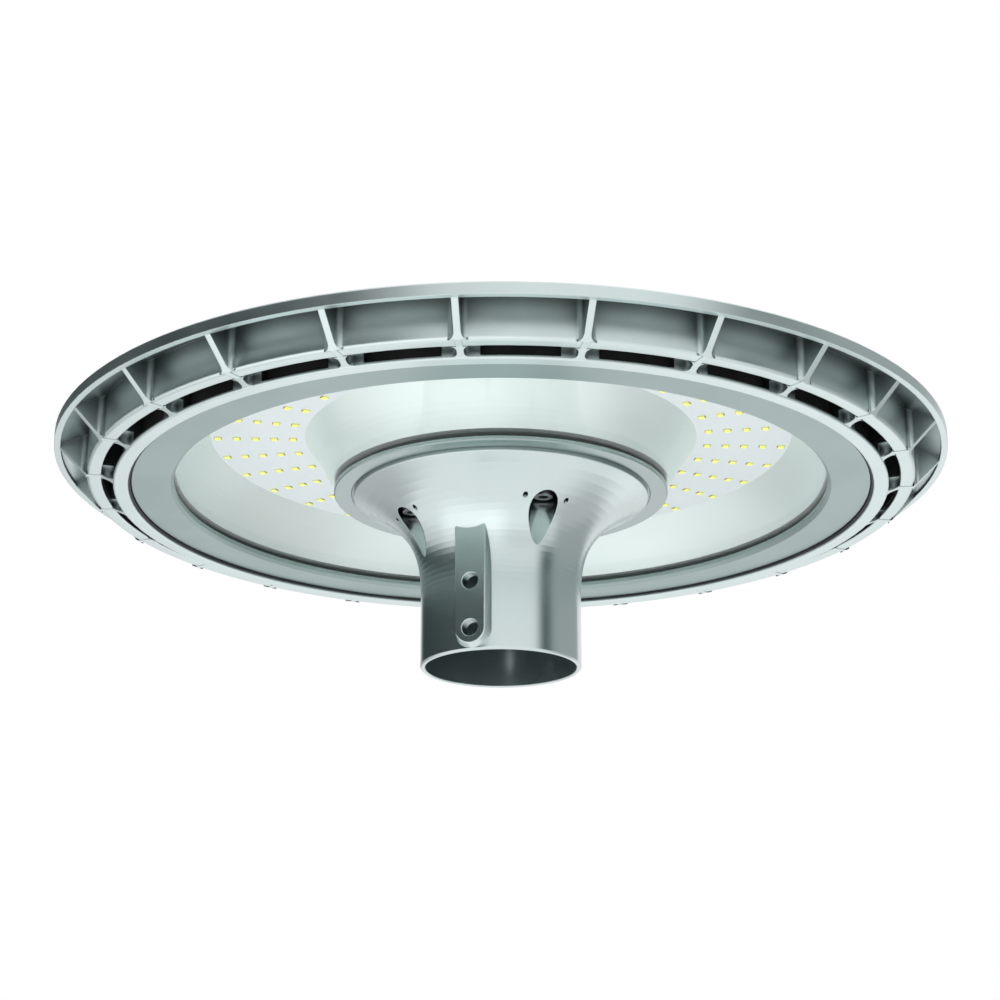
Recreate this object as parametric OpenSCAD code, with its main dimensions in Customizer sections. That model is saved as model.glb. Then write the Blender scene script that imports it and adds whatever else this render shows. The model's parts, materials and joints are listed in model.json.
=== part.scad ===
// Post-top garden light of the flat round kind. The origin is the centre of the
// spigot's lower face, Z points up, and the clamp screws face -Y.

/* [Disc] */
// Outer diameter of the rim
disc_d = 470; // [420:1:520]
// Height of the outer band of the rim
rim_h = 6.3; // [4:0.1:9]
// Radial thickness of the rim below the roof
rim_wall = 3.3; // [2.5:0.1:5]
// Rise of the rim's lower edge above the glass
rim_rise = 11; // [8:0.5:14]
// Slope of the roof and of the dome at its edge, in degrees
roof_slope = 22; // [18:1:26]
// Thickness of the roof above the rib cells, measured upright
roof_t = 5.3; // [4:0.1:7]
// Chamfer at the top edge of the rim
rim_chamfer = 1; // [0.5:0.1:2]

/* [Ribs] */
// Number of radial ribs and of slots
rib_count = 24; // [18:1:28]
// Thickness of a rib
rib_t = 3.2; // [2:0.1:5]
// Fillet between a rib and the middle ring, outside
rib_fillet = 3; // [1.5:0.1:5]
// Fillet between a rib and the collar or the middle ring, inside the channel
channel_fillet = 2.4; // [1:0.1:2.8]
// How far a rib's node hangs below the middle ring
node_drop = 0.2; // [0.1:0.1:2]

/* [Middle ring and collar] */
// Radial gap from the middle ring to the rim's outside
mid_ring_inset = 17.3; // [14:0.5:20]
// Radial width of the middle ring
mid_ring_w = 7.7; // [5:0.1:10]
// How far the middle ring hangs below the glass
mid_ring_drop = 3; // [1:0.1:5]
// Radial width of the channel between middle ring and collar
channel_w = 6; // [5:0.1:9]
// Depth of the channel above the collar's lower face
channel_depth = 6; // [4:0.1:9]
// Radial width of the collar's lower face
collar_w = 7.8; // [6:0.1:10]
// How far the collar hangs below the glass
collar_drop = 6.3; // [5:0.1:8]
// Thickness of the collar's lower lip, under the seal
collar_lip = 1.6; // [1.2:0.1:3]
// Rounding of the collar's lower edges
edge_round = 0.9; // [0.4:0.1:1.5]
// Rounding of the middle ring's lower outer edge
mid_round = 1.8; // [0.4:0.1:3]
// Width of the metal between two slots
slot_bridge = 17.3; // [14:0.1:30]
// Height of a slot
slot_h = 24; // [12:0.5:25]

/* [Spigot] */
// Height of the spigot up to its flange face
spigot_h = 94.6; // [88:0.1:110]
// Bore for the post
socket_d = 78.7; // [72:0.1:86]
// Wall of the tube round the bore
tube_wall = 2.65; // [2.4:0.05:4]
// Depth of the bore for the post
socket_depth = 72; // [50:1:78]
// Diameter of the flange at the top of the trumpet
flange_d = 157; // [144:0.5:174]
// Height of the flange's upright edge
flange_edge = 2.9; // [2:0.1:4]
// Height at which the trumpet starts to widen
flare_start = 25.3; // [15:0.1:35]
// Exponent of the trumpet's curve
flare_power = 3.9; // [3:0.1:5]
// Diameter of the cable opening above the stop for the post
cable_opening_d = 40; // [36:1:50]
// Wall of the trumpet round the hollow at its top
core_wall = 5; // [4:0.5:7]
// Rounding at the mouth of the bore
mouth_round = 0.8; // [0.3:0.1:1.2]

/* [Clamp screw pad] */
// How far the pad stands out of the tube
pad_rise = 4; // [3:0.1:6]
// Width of the pad's face
pad_w = 16.5; // [14:0.1:20]
// Extra width of the pad at the tube, on each side
pad_draft = 1.3; // [0.2:0.1:2]
// Chamfer round the pad's face
pad_chamfer = 0.5; // [0.2:0.1:1]
// Height of the pad's lower end above the end of the tube
pad_end = 0.95; // [0.5:0.05:5]
// Distance between the two tapped holes
clamp_pitch = 24.5; // [18:0.1:30]
// Diameter of the tapped holes
clamp_d = 8.5; // [6:0.1:10]
// Chamfer at the mouth of the tapped holes
clamp_chamfer = 0.3; // [0.1:0.1:0.8]

/* [Screw pockets] */
// Number of screws that hold the spigot
pocket_count = 4; // [3:1:6]
// Diameter of a screw pocket
pocket_d = 15; // [13:0.1:16]
// Distance from a screw pocket to the outside of the tube
pocket_gap = 1.6; // [1:0.1:4]
// Thickness of the spigot above a pocket
pocket_roof = 8.6; // [6:0.1:12]
// Distance of the small blind holes beyond the circle of the pockets
pin_offset = 4.4; // [2:0.1:6]
// Angle from a pocket to each of its small holes
pin_angle = 12; // [10:0.5:16]
// Diameter of the small blind holes
pin_d = 2.6; // [1.5:0.1:3.5]
// Thickness of the spigot above a small blind hole
pin_roof = 15; // [14:0.5:16]

/* [Lamp chamber] */
// Radial width of the bezel, seen from below
bezel_w = 22.3; // [20:0.1:25]
// Joint between bezel and collar
bezel_joint = 1.1; // [0.8:0.1:2]
// How far the bezel hangs below the glass
bezel_drop = 3.9; // [3:0.1:5]
// Height of the bezel's rim above the glass's lower face
bezel_rise = 12.1; // [10:0.1:14]
// Chamfer at the bezel's inner edge
bezel_inner_chamfer = 1.7; // [0.8:0.1:2.5]
// Chamfer at the bezel's outer edge
bezel_outer_chamfer = 0.6; // [0.3:0.1:1.2]
// Thickness of the glass
glass_t = 4; // [3:0.1:5]
// Gap between the glass and the spigot's flange
glass_hole_gap = 2; // [1.6:0.1:3]
// Thickness of the rubber gaskets on the glass
glass_gasket_t = 1.5; // [1:0.1:2.5]
// Radial width of the small inner ring outside the flange
inner_ring_w = 10.3; // [9:0.1:12]
// How far the small inner ring hangs below the glass
inner_ring_drop = 2.2; // [1.9:0.1:3]
// Rise of the light-emitting face above the glass's lower face
board_rise = 29.7; // [26:0.1:34]
// Thickness of the board
board_t = 1.6; // [1:0.1:2.4]
// Thickness of the thermal pad
pad_t = 0.5; // [0.3:0.1:1]
// Wall of the reflectors
reflector_wall = 1.2; // [0.8:0.1:2]
// Radial lean of the inner reflector from glass to board
inner_cone_lean = 15; // [10:0.5:18]
// Radial lean of the outer reflector from glass to board
outer_cone_lean = 16; // [10:0.5:18]
// Width of the board's edge behind the outer reflector
board_edge_out = 10.5; // [9.5:0.5:12]
// Width of the board's edge behind the inner reflector
board_edge_in = 9; // [8:0.5:11]
// Bulge of the reflectors' walls
cone_bulge = 1.6; // [0:0.1:3]

/* [Chips] */
// Number of radial rows of chips
row_count = 32; // [16:1:32]
// Number of rings of chips
ring_count = 5; // [3:1:5]
// Distance from the inner reflector to the first ring of chips
ring_margin_in = 6.5; // [4:0.1:10]
// Distance from the last ring of chips to the outer reflector
ring_margin_out = 4; // [3:0.1:10]
// Edge of a chip
chip_w = 3; // [2:0.1:3.5]
// Height of a chip
chip_h = 0.7; // [0.4:0.1:1]

/* [Frame inside] */
// Thickness of the hub's floor
hub_floor = 10; // [8:0.5:14]
// Wall of the hub
hub_wall = 5; // [4:0.5:7]
// Thickness of the spigot's gasket
spigot_gasket_t = 1.7; // [1:0.1:2.2]
// Thickness of the frame's floor above the board
floor_t = 4; // [3.6:0.1:5]
// Wall around the lamp chamber
chamber_wall = 4; // [3:0.1:6]
// Radial space between the window and the chamber's wall
chamber_margin = 0.8; // [0.5:0.1:3]
// Thickness of the shelf above the bezel
shelf_t = 4; // [3:0.1:6]
// Depth of the seal groove in the collar, behind the slots
seal_w = 3; // [2.5:0.1:4]
// Height of the bezel's seal
seal_h = 12.4; // [8:0.1:13]

/* [Top cover] */
// Thickness of the cover
cover_t = 3; // [2:0.1:5]
// Width of the cover's flat seat
cover_seat_w = 14; // [13:0.5:16]
// Gap around the cover's edge
cover_gap = 0.4; // [0.2:0.1:1]
// Number of screws of the cover
cover_screw_count = 6; // [4:1:8]
// Distance of the cover's screws from its edge
cover_screw_inset = 6.3; // [6:0.1:6.6]
// Thickness of the cover under a screw
cover_screw_land = 2; // [1.5:0.1:3]
// Width of the cover's seal
cover_seal_w = 2.4; // [2:0.1:3]
// Depth of the groove for the cover's seal
cover_groove = 2; // [1.5:0.1:3]

/* [Fasteners] */
// Thread diameter of the spigot's screws
spigot_screw_d = 6; // [5:0.5:8]
// Thread diameter of the cover's and the bezel's screws
m5_d = 5; // [4:0.5:5.5]
// Thread diameter of the tray's screws
m4_d = 4; // [3:0.5:5]
// Thread diameter of the board's screws
m3_d = 3; // [2:0.5:3.5]
// Number of screws of the bezel
bezel_screw_count = 8; // [6:1:12]
// Number of outer screws of the board
board_screw_count = 8; // [4:1:12]
// Radial clearance between a screw and its hole
screw_gap = 0.05; // [0.02:0.01:0.1]

/* [Gear] */
// Length of the tray
tray_l = 196; // [190:1:204]
// Width of the tray
tray_w = 84; // [80:1:92]
// Thickness of the tray
tray_t = 1.5; // [1:0.1:2.5]
// Length of the driver's case
driver_l = 100; // [90:1:104]
// Width of the driver's case
driver_w = 56; // [50:1:60]
// Height of the driver's case
driver_h = 18; // [14:0.5:20]
// Thickness of the driver's end lids
driver_lid_t = 2; // [1.5:0.1:3]
// Length of the terminal block
terminal_l = 44; // [40:1:50]
// Width of the terminal block
terminal_w = 20; // [16:0.5:22]
// Height of the terminal block
terminal_h = 13; // [11:0.5:13.5]
// Thread diameter of the cable gland
gland_d = 20; // [16:1:25]
// Width across the flats of the gland
gland_flats = 24; // [22:1:30]
// Diameter of a lead
lead_d = 2.4; // [1.5:0.1:3]

/* [Hidden] */
$fn = 96;
eps = 0.01;

// Clearances
cut = 1;
wall_gap = 0.4;
seat_gap = 0.1;
rib_gap = 1;
ring_gap = 0.8;

// Radii of the disc, from the rim inwards
disc_r = disc_d / 2;
mid_r = disc_r - mid_ring_inset;
mid_in_r = mid_r - mid_ring_w;
collar_r = mid_in_r - channel_w;
collar_in_r = collar_r - collar_w;
bezel_r = collar_in_r - bezel_joint;
window_r = bezel_r - bezel_w;
seal_r = collar_in_r + seal_w;
slot_l = 2 * collar_r * sin(180 / rib_count) - slot_bridge;

// Heights, upwards from the spigot's lower face
glass_z = spigot_h + spigot_gasket_t;
collar_z = glass_z - collar_drop;
mid_z = glass_z - mid_ring_drop;
bezel_z = glass_z - bezel_drop;
slot_z = collar_z + collar_lip;
channel_z = collar_z + channel_depth;
glass_top = glass_z + glass_t;
gasket_top = glass_top + glass_gasket_t;
shelf_z = glass_z + bezel_rise;
shelf_top = shelf_z + shelf_t;
board_z = glass_z + board_rise;
pad_z = board_z + board_t;
floor_z = pad_z + pad_t;
floor_top = floor_z + floor_t;
well_z = glass_z + hub_floor;
rim_z = glass_z + rim_rise;
rim_top = rim_z + rim_h;
seal_top = slot_z + seal_h;

// Height of the outer skin above a radius, along the straight slope of the roof
function skin_z(r) = rim_top + (disc_r - rim_chamfer - r) * tan(roof_slope);
// Height of the roof of the rib cells above a radius
function cell_z(r) = skin_z(r) - roof_t;

// Radii of the lamp chamber, from the window outwards
chamber_r = window_r + chamber_margin;
chamber_out_r = chamber_r + chamber_wall;
gasket_w = 5;
gasket_in_r = chamber_r + 2;
gasket_out_r = gasket_in_r + gasket_w;
bezel_rim_r = gasket_out_r + rib_gap;
frame_in_r = bezel_r + wall_gap;
bezel_screw_r = bezel_rim_r + m5_d * 1.1;
bezel_screw_depth = 8;
trough_r = bezel_screw_r + m5_d * 1.2;

// Radii round the spigot's flange, outwards
flange_r = flange_d / 2;
hub_r = flange_r - 1.5;
well_r = hub_r - hub_wall;
glass_hole_r = flange_r + glass_hole_gap;
inner_gasket_r = glass_hole_r + gasket_w;
inner_ring_r = flange_r + inner_ring_w;
spigot_gasket_r = flange_r - 7;
shoulder_t = 3;

// Reflectors and board
inner_foot_r = inner_ring_r + 1.2;
inner_cone_r = inner_foot_r + inner_cone_lean;
outer_foot_r = window_r - 1.2;
outer_cone_r = outer_foot_r - outer_cone_lean;
board_in_r = inner_cone_r - board_edge_in;
board_out_r = outer_cone_r + board_edge_out;
board_pocket_r = board_out_r + 1.5;
first_ring_r = inner_cone_r + ring_margin_in;
ring_pitch = (outer_cone_r - ring_margin_out - first_ring_r) / (ring_count - 1);
board_in_screw_r = board_in_r + m3_d * 1.07;
board_out_screw_r = board_out_r - m3_d * 1.33;
board_screw_depth = 2.8;

// The dome continues the slope of the roof without a break
cover_r = trough_r + cover_seat_w;
dome_r = cover_r / sin(roof_slope);
dome_centre = skin_z(cover_r) - dome_r * cos(roof_slope);
seat_z = skin_z(cover_r) - cover_t;
cover_seal_r = trough_r + 0.8;
cover_screw_r = cover_r - cover_screw_inset;
cover_land_z = seat_z + cover_screw_land;
cover_screw_depth = 9;

// Spigot
socket_r = socket_d / 2;
tube_r = socket_r + tube_wall;
flange_z = spigot_h - flange_edge;
flange_round = 1.1;
pocket_r = tube_r + pocket_d / 2 + pocket_gap;
pocket_z = spigot_h - pocket_roof;
pin_r = pocket_r + pin_offset;
pad_face = tube_r + pad_rise;
pad_top = flare_start + (flange_z - flare_start) * pow(2 * pad_rise / (flange_r - tube_r), 1 / flare_power);
clamp_z = pad_end + pad_w / 2 + pad_draft;
clamp_zs = [clamp_z, clamp_z + clamp_pitch];
spigot_screw_depth = 8;
washer_t = 1.6;
function flare_r(z) = tube_r
    + (flange_r - flange_round - tube_r) * pow((z - flare_start) / (flange_z - flare_start), flare_power);

// Gear
tray_screw_x = tray_l / 2 - 10;
tray_screw_y = tray_w / 2 - 10;
tray_screw_depth = 2.8;
driver_z = floor_top + tray_t;
terminal_gap = 16;
terminal_y = hub_r + terminal_gap + terminal_w / 2;
terminal_screw_x = terminal_l / 2 - m3_d * 1.33;
terminal_ways = [-6, 6];
terminal_foot = 5;
lead_pitch = lead_d + 0.6;
lead_z = floor_top + lead_d * 1.9;
grommet_hole_d = 2 * lead_pitch + 1;
grommet_flange = 1.5;
grommet_r = hub_r + grommet_hole_d / 2 + 6;
grommet_angle = 45;

// Evenly spread angles of a pattern
function spread(n, start = 0) = [for (i = [0:n - 1]) start + i * 360 / n];

// Points of an arc around a centre, for rounded corners of a section
function arc(cx, cy, r, from, to, steps = 4) =
    [for (i = [0:steps]) let (a = from + (to - from) * i / steps) [cx + r * cos(a), cy + r * sin(a)]];

// Upright ring between two radii and two heights
module ring(r_in, r_out, z0, z1) {
    translate([0, 0, z0])
        difference() {
            cylinder(r = r_out, h = z1 - z0);
            translate([0, 0, -1]) cylinder(r = r_in, h = z1 - z0 + 2);
        }
}

// Children at a radius and at each angle of a list, counted from -Y towards +X
module around(angles, r) {
    for (a = angles) rotate([0, 0, a]) translate([0, -r, 0]) children();
}

// Upright hole from one height to another
module hole(d, z0, z1) {
    translate([0, 0, z0]) cylinder(d = d, h = z1 - z0, $fn = 32);
}

// Socket-head screw that points up, with the underside of its head at z
module socket_screw(d, length, z) {
    difference() {
        union() {
            translate([0, 0, z]) cylinder(d = d, h = length, $fn = 32);
            translate([0, 0, z - d]) cylinder(d = d * 1.65, h = d, $fn = 32);
        }
        translate([0, 0, z - d - eps]) cylinder(d = d * 0.95, h = d * 0.55, $fn = 6);
    }
}

// Pan-head screw that points down, with the underside of its head at z
module pan_screw(d, length, z) {
    head_r = d * 0.95;
    head_h = d * 0.55;
    difference() {
        union() {
            translate([0, 0, z - length]) cylinder(d = d, h = length, $fn = 32);
            translate([0, 0, z])
                rotate_extrude($fn = 32)
                    polygon(concat([[0, 0], [head_r, 0]],
                    arc(head_r - head_h * 0.6, head_h * 0.4, head_h * 0.6, 0, 90), [[0, head_h]]));
        }
        translate([0, 0, z + head_h * 0.45]) cylinder(d = d * 0.62, h = head_h, $fn = 6);
    }
}

// Section of the frame between two ribs, from the hub out to the rim and back
module frame_section() {
    roof_foot = cell_z(mid_r);
    rim_in_r = disc_r - rim_wall;
    polygon(concat(
        [[0, glass_z], [hub_r, glass_z], [hub_r, gasket_top], [inner_gasket_r, gasket_top]],
        [[inner_gasket_r, gasket_top + shoulder_t], [hub_r, gasket_top + shoulder_t + 2], [hub_r, floor_z]],
        [[board_pocket_r, floor_z], [chamber_r, shelf_z], [gasket_in_r, shelf_z], [gasket_in_r, gasket_top]],
        [[gasket_out_r, gasket_top], [gasket_out_r, shelf_z], [frame_in_r, shelf_z], [frame_in_r, seal_top]],
        [[seal_r, seal_top], [seal_r, slot_z], [collar_in_r, slot_z]],
        arc(collar_in_r + edge_round, collar_z + edge_round, edge_round, 180, 270),
        arc(collar_r - edge_round, collar_z + edge_round, edge_round, 270, 360),
        [[collar_r, channel_z], [mid_in_r, channel_z]],
        arc(mid_in_r + edge_round, mid_z + edge_round, edge_round, 180, 270),
        arc(mid_r - mid_round, mid_z + mid_round, mid_round, 270, 360, 6),
        [[mid_r, roof_foot], [rim_in_r, cell_z(rim_in_r)], [rim_in_r, rim_z], [disc_r, rim_z]],
        [[disc_r, rim_top - rim_chamfer], [disc_r - rim_chamfer, rim_top]],
        [[cover_r + cover_gap, skin_z(cover_r + cover_gap)], [cover_r + cover_gap, seat_z]],
        [[cover_seal_r + cover_seal_w, seat_z], [cover_seal_r + cover_seal_w, seat_z - cover_groove]],
        [[cover_seal_r, seat_z - cover_groove], [cover_seal_r, seat_z], [trough_r, seat_z]],
        [[trough_r, shelf_top], [chamber_out_r, shelf_top], [board_pocket_r + chamber_wall, floor_z]],
        [[board_pocket_r, floor_top], [well_r, floor_top], [well_r, well_z], [0, well_z]]));
}

// Straight-edged corner piece that turns a square corner into a fillet
module fillet_corner(r) {
    difference() {
        translate([-eps, -eps]) square(r + eps);
        translate([r, r]) circle(r, $fn = 32);
    }
}

// Plan of one rib with its fillets, pointing along -Y
module rib_plan() {
    half = rib_t / 2;
    translate([-half, -disc_r + rim_wall / 2]) square([rib_t, disc_r - rim_wall / 2 - collar_r + 1]);
    for (side = [0, 1])
        mirror([side, 0]) {
            translate([half, -mid_r]) mirror([0, 1]) fillet_corner(rib_fillet);
            translate([half, -mid_in_r]) fillet_corner(channel_fillet);
            translate([half, -collar_r]) mirror([0, 1]) fillet_corner(channel_fillet);
        }
}

// Space that the ribs fill, below the roof and above their sloping lower edges
module rib_space() {
    rotate_extrude()
        polygon([[collar_r - 0.5, collar_z + edge_round / 2], [mid_in_r, mid_z - node_drop],
            [mid_r, mid_z - node_drop], [disc_r - rim_wall + 0.5, rim_z + 0.2],
            [disc_r - rim_wall + 0.5, cell_z(disc_r - rim_wall) + 1], [mid_r, cell_z(mid_r) + 1],
            [collar_r - 0.5, cell_z(mid_r) + 1]]);
}

// Slots through the collar into the channel, with their rounded corners in plan
module slots() {
    inner_y = collar_r - 3.5;
    depth = mid_in_r - inner_y + 2;
    translate([0, 0, slot_z])
        linear_extrude(height = slot_h)
            intersection() {
                difference() {
                    circle(mid_in_r - 0.1, $fn = 180);
                    circle(seal_r - 0.2, $fn = 180);
                }
                union() {
                    for (a = spread(rib_count, 180 / rib_count))
                        rotate(a) translate([-slot_l / 2, -inner_y - depth]) square([slot_l, depth + 6]);
                }
            }
}

// One die casting: rim, ribs, middle ring, slotted collar, floor and hub
module frame_casting() color("silver") {
    angles = spread(rib_count);
    difference() {
        union() {
            rotate_extrude($fn = 180) frame_section();
            intersection() {
                rib_space();
                translate([0, 0, collar_z - cut])
                    linear_extrude(height = cell_z(mid_r) - collar_z + 3 * cut)
                        union() {
                            for (a = angles) rotate(a) rib_plan();
                        }
            }
        }
        slots();
        around(spread(pocket_count, 180 / pocket_count), pocket_r)
            hole(spigot_screw_d + 2 * screw_gap, glass_z - cut, glass_z + spigot_screw_depth);
        around(spread(bezel_screw_count, 180 / bezel_screw_count), bezel_screw_r)
            hole(m5_d + 2 * screw_gap, shelf_z - 1, shelf_top + 1);
        around(spread(cover_screw_count), cover_screw_r)
            hole(m5_d + 2 * screw_gap, seat_z - cover_screw_depth, seat_z + 1);
        board_screw_places() hole(m3_d + 2 * screw_gap, floor_z - 1, floor_z + board_screw_depth);
        tray_screw_places() hole(m4_d + 2 * screw_gap, floor_top - tray_screw_depth, floor_top + 1);
        terminal_screw_places() hole(m3_d + 2 * screw_gap, floor_top - tray_screw_depth, floor_top + 1);
        hole(gland_d + 2 * screw_gap, glass_z - 1, well_z + 1);
        around([grommet_angle], grommet_r) hole(grommet_hole_d, floor_z - 1, floor_top + 1);
    }
}

// Places of the board's screws
module board_screw_places() {
    around(spread(board_screw_count, 180 / board_screw_count), board_out_screw_r) children();
    around(spread(board_screw_count / 2, 180 / board_screw_count), board_in_screw_r) children();
}

// Places of the tray's screws
module tray_screw_places() {
    for (x = [-1, 1]) for (y = [-1, 1]) translate([x * tray_screw_x, y * tray_screw_y, 0]) children();
}

// Places of the terminal block's screws
module terminal_screw_places() {
    for (x = [-1, 1]) translate([x * terminal_screw_x, terminal_y, 0]) children();
}

// Flat ring below the glass, with the rim that takes its screws
module bezel() color("darkgray")
    difference() {
        rotate_extrude($fn = 180)
            polygon([[window_r + bezel_inner_chamfer, bezel_z], [bezel_r - bezel_outer_chamfer, bezel_z],
                [bezel_r, bezel_z + bezel_outer_chamfer], [bezel_r, shelf_z], [bezel_rim_r, shelf_z],
                [bezel_rim_r, glass_z], [window_r, glass_z], [window_r, bezel_z + bezel_inner_chamfer]]);
        around(spread(bezel_screw_count, 180 / bezel_screw_count), bezel_screw_r)
            hole(m5_d + 2 * screw_gap, shelf_z - bezel_screw_depth, shelf_z + 1);
    }

// Black rubber ring behind the slots
module bezel_seal() color("black") ring(bezel_r + seat_gap, seal_r, slot_z, seal_top);

module bezel_screws() color("lightgray")
    around(spread(bezel_screw_count, 180 / bezel_screw_count), bezel_screw_r)
        pan_screw(m5_d, shelf_t + bezel_screw_depth - 1, shelf_top);

module glass() color("lightcyan", 0.4) ring(glass_hole_r, gasket_out_r, glass_z, glass_top);

module glass_outer_gasket() color("dimgray") ring(gasket_in_r, gasket_out_r, glass_top, gasket_top);

module glass_inner_gasket() color("dimgray") ring(glass_hole_r, inner_gasket_r, glass_top, gasket_top);

// Small ring that carries the inner edge of the glass, clamped by the spigot's flange
module inner_ring() color("darkgray") {
    face_z = glass_z - inner_ring_drop;
    step_r = flange_r + ring_gap;
    web_r = spigot_gasket_r + 1;
    edge = 0.5;
    rotate_extrude($fn = 120)
        polygon([[web_r, spigot_h], [step_r, spigot_h], [step_r, face_z + edge], [step_r + edge, face_z],
            [inner_ring_r - edge, face_z], [inner_ring_r, face_z + edge], [inner_ring_r, glass_z],
            [web_r, glass_z]]);
}

// Cone with a slight bulge and a flat foot that lies on the glass
module reflector(low_r, high_r, foot_r, side) {
    steps = 8;
    foot_z = glass_top + seat_gap;
    height = board_z - foot_z;
    wall = side * reflector_wall;
    function face_r(t) = low_r + (high_r - low_r) * t + side * cone_bulge * sin(180 * t);
    face = [for (i = [0:steps]) let (t = i / steps) [face_r(t), foot_z + height * t]];
    back = [for (i = [steps:-1:0]) let (t = i / steps)
        [face_r(t) + wall, foot_z + max(height * t, reflector_wall)]];
    rotate_extrude($fn = 180)
        polygon(concat(face, back, [[foot_r, foot_z + reflector_wall], [foot_r, foot_z]]));
}

module outer_reflector() color("whitesmoke")
    reflector(outer_foot_r, outer_cone_r, gasket_in_r - wall_gap, 1);

module inner_reflector() color("whitesmoke")
    reflector(inner_foot_r, inner_cone_r, inner_gasket_r + wall_gap, -1);

module led_board() color("white")
    difference() {
        ring(board_in_r, board_out_r, board_z, pad_z);
        board_screw_places() hole(m3_d + 2 * screw_gap, board_z - 1, pad_z + 1);
    }

// Chips in straight radial rows, soldered to the underside of the board
module led_chips() color("yellow")
    for (a = spread(row_count))
        for (i = [0:ring_count - 1])
            rotate([0, 0, a])
                translate([-chip_w / 2, -first_ring_r - i * ring_pitch - chip_w / 2, board_z - chip_h])
                    cube([chip_w, chip_w, chip_h]);

module board_screws() color("lightgray")
    board_screw_places()
        translate([0, 0, board_z]) mirror([0, 0, 1])
            pan_screw(m3_d, board_t + pad_t + board_screw_depth - 0.3, 0);

module thermal_pad() color("lightblue")
    difference() {
        ring(board_in_r + 1, board_out_r - 1, pad_z, floor_z);
        board_screw_places() hole(m3_d + 2 * screw_gap, pad_z - 1, floor_z + 1);
    }

// Outline of the trumpet, from the mouth of the bore round the outside to the top
module spigot_section() {
    steps = 22;
    stop_z = socket_depth;
    cable_r = cable_opening_d / 2;
    polygon(concat(
        [[socket_r, mouth_round / 2], [socket_r + mouth_round / 2, 0], [tube_r - mouth_round, 0]],
        [[tube_r, mouth_round], [tube_r, flare_start]],
        [for (i = [1:steps]) let (z = flare_start + (flange_z - flare_start) * i / steps) [flare_r(z), z]],
        arc(flange_r - flange_round, flange_z + flange_round, flange_round, -35, 0, 3),
        [[flange_r, spigot_h], [cable_r, spigot_h], [cable_r, stop_z], [socket_r, stop_z]]));
}

// Raised pad for the clamp screws, with a round lower end and drafted sides
module clamp_pad() {
    half = pad_w / 2;
    root = half + pad_draft * (pad_face - socket_r) / (pad_face - tube_r);
    layers = [[socket_r, root], [pad_face - pad_chamfer, half], [pad_face, half - pad_chamfer]];
    for (i = [0:1]) {
        y0 = layers[i][0];
        y1 = layers[i + 1][0];
        half0 = layers[i][1];
        half1 = layers[i + 1][1];
        translate([0, 0, clamp_z])
            linear_extrude(height = pad_top - clamp_z)
                polygon([[-half0, -y0], [-half1, -y1], [half1, -y1], [half0, -y0]]);
        translate([0, -y0, clamp_z])
            rotate([90, 0, 0]) cylinder(r1 = half0, r2 = half1, h = y1 - y0, $fn = 64);
    }
}

// Hollow above the stop for the post, open to the gasket, with a boss for each screw
module spigot_core() {
    steps = 4;
    boss_r = pocket_d / 2 + 3.5;
    low_z = socket_depth + core_wall;
    high_z = flange_z - 2;
    top_r = spigot_gasket_r - 5;
    in_r = cable_opening_d / 2 + core_wall;
    rim = [for (i = [0:steps]) let (z = low_z + (high_z - low_z) * i / steps)
        [min(flare_r(z) - core_wall, top_r), z]];
    difference() {
        rotate_extrude($fn = 96)
            polygon(concat([[in_r, low_z]], rim,
                [[top_r, high_z + 1], [top_r, spigot_h + cut], [in_r, spigot_h + cut]]));
        around(spread(pocket_count, 180 / pocket_count), pocket_r)
            cylinder(r = boss_r, h = spigot_h + 2 * cut, $fn = 48);
    }
}

// Trumpet casting that slips over the post and carries the frame
module spigot() color("silver")
    difference() {
        union() {
            rotate_extrude($fn = 120) spigot_section();
            difference() {
                clamp_pad();
                translate([0, 0, -1]) cylinder(r = socket_r + 1, h = spigot_h);
            }
        }
        spigot_core();
        for (z = clamp_zs)
            translate([0, -pad_face + clamp_chamfer, z])
                rotate([90, 0, 0])
                    cylinder(d1 = clamp_d, d2 = clamp_d + 4 * clamp_chamfer, h = 2 * clamp_chamfer, $fn = 48);
        for (z = clamp_zs)
            translate([0, -socket_r + 5, z])
                rotate([90, 0, 0]) cylinder(d = clamp_d, h = pad_face - socket_r + 10, $fn = 48);
        around(spread(pocket_count, 180 / pocket_count), pocket_r) {
            translate([0, 0, flare_start]) cylinder(d = pocket_d, h = pocket_z - flare_start, $fn = 64);
            hole(spigot_screw_d + 2 * screw_gap, pocket_z - 1, spigot_h + 1);
        }
        for (a = spread(pocket_count, 180 / pocket_count))
            around([a - pin_angle, a + pin_angle], pin_r) hole(pin_d, flare_start, spigot_h - pin_roof);
    }

module spigot_gasket() color("dimgray")
    difference() {
        ring(cable_opening_d / 2 + 1, spigot_gasket_r, spigot_h, glass_z);
        around(spread(pocket_count, 180 / pocket_count), pocket_r)
            hole(spigot_screw_d + 2 * screw_gap, spigot_h - 1, glass_z + 1);
    }

module spigot_screws() color("gray")
    around(spread(pocket_count, 180 / pocket_count), pocket_r)
        socket_screw(spigot_screw_d, pocket_roof + washer_t + spigot_gasket_t + spigot_screw_depth - 1,
            pocket_z - washer_t);

module spigot_washers() color("lightgray")
    around(spread(pocket_count, 180 / pocket_count), pocket_r)
        ring(spigot_screw_d / 2 + screw_gap, spigot_screw_d, pocket_z - washer_t, pocket_z);

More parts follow.
